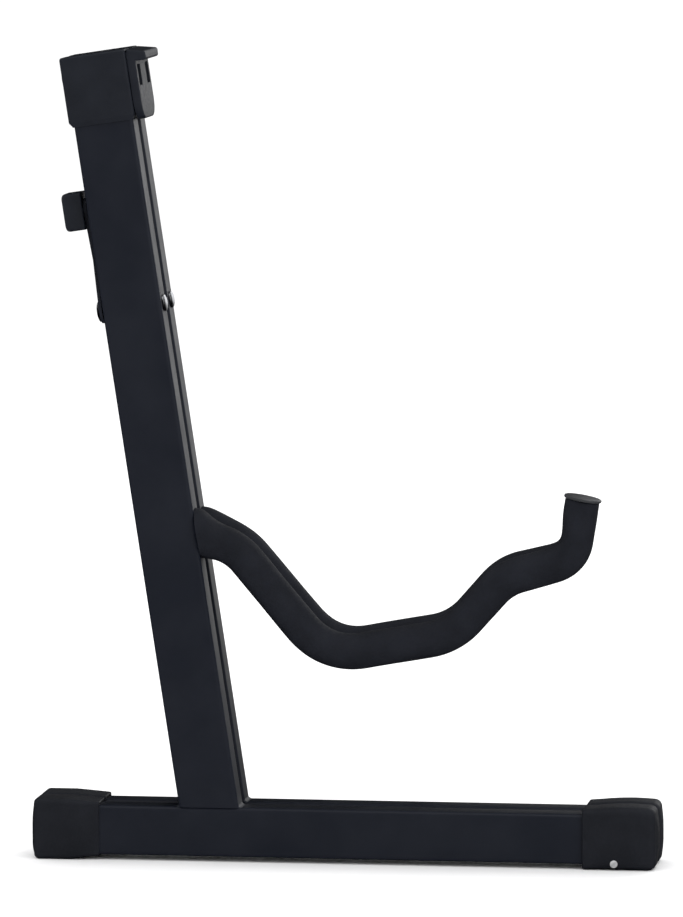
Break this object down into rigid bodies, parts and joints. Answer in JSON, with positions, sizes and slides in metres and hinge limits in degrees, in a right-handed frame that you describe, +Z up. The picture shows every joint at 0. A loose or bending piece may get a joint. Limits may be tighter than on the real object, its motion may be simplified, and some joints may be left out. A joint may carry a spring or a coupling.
{
  "type": "folding guitar stand",
  "caption": "Folding A-frame floor stand for a guitar, folded flat: leaning tube uprights on long feet, foam-covered cradle arms, top hinge and rear folding stay.",
  "frame": {"origin": "on the floor, under the middle of the stand's bounding box", "axes": "+X forwards, the side the guitar stands on; +Y towards the right half frame; +Z up"},
  "size_m": [0.3156, 0.0384, 0.4063],
  "materials": {
    "black_paint": "satin black powder coat",
    "foot_rubber": "matte moulded rubber",
    "foam_sleeve": "matte closed-cell foam",
    "moulded_plastic": "fine-textured moulded plastic",
    "plug_plastic": "satin moulded plastic",
    "zinc_steel": "bright zinc plate"
  },
  "bodies": {
    "hinge_head": {"hinge_pin": "zinc_steel", "hinge_washer": "zinc_steel", "hinge_cover": "moulded_plastic"},
    "left_half": {"left_upright": "black_paint", "left_foot_bar": "black_paint", "left_foot_cap_rear": "foot_rubber", "left_foot_cap_front": "foot_rubber", "left_top_cap": "moulded_plastic", "left_arm_tube": "black_paint", "left_arm_sleeve": "foam_sleeve", "left_arm_plug": "plug_plastic", "left_stay_rivet": "zinc_steel"},
    "right_half": {"right_upright": "black_paint", "right_foot_bar": "black_paint", "right_foot_cap_rear": "foot_rubber", "right_foot_cap_front": "foot_rubber", "right_top_cap": "moulded_plastic", "right_arm_tube": "black_paint", "right_arm_sleeve": "foam_sleeve", "right_arm_plug": "plug_plastic", "right_stay_rivet": "zinc_steel", "right_stay_spacer": "zinc_steel"},
    "left_stay": {"left_stay_link": "black_paint"},
    "right_stay": {"right_stay_link": "black_paint", "stay_grip": "moulded_plastic", "stay_knuckle_rivet": "zinc_steel"}
  },
  "joints": [
    {"name": "left_fold", "type": "hinge", "parent": "hinge_head", "child": "left_half", "pos_m": [-0.1214, 0, 0.39274], "axis": [-0.9893, 0, -0.1461], "range_deg": [0, 21]},
    {"name": "right_fold", "type": "hinge", "parent": "hinge_head", "child": "right_half", "pos_m": [-0.1214, 0, 0.39274], "axis": [0.9893, 0, 0.1461], "range_deg": [0, 21]},
    {"name": "left_stay_fold", "type": "hinge", "parent": "left_half", "child": "left_stay", "pos_m": [-0.10436, -0.0097, 0.27739], "axis": [-0.9893, 0, -0.1461], "range_deg": [0, 58]},
    {"name": "right_stay_fold", "type": "hinge", "parent": "right_half", "child": "right_stay", "pos_m": [-0.10436, 0.0097, 0.27739], "axis": [0.9893, 0, 0.1461], "range_deg": [0, 58]}
  ],
  "couplings": [
    {"joint": "right_fold", "follows": "left_fold", "ratio": 1},
    {"joint": "left_stay_fold", "follows": "left_fold", "ratio": 2.6954},
    {"joint": "right_stay_fold", "follows": "left_fold", "ratio": 2.6954}
  ]
}
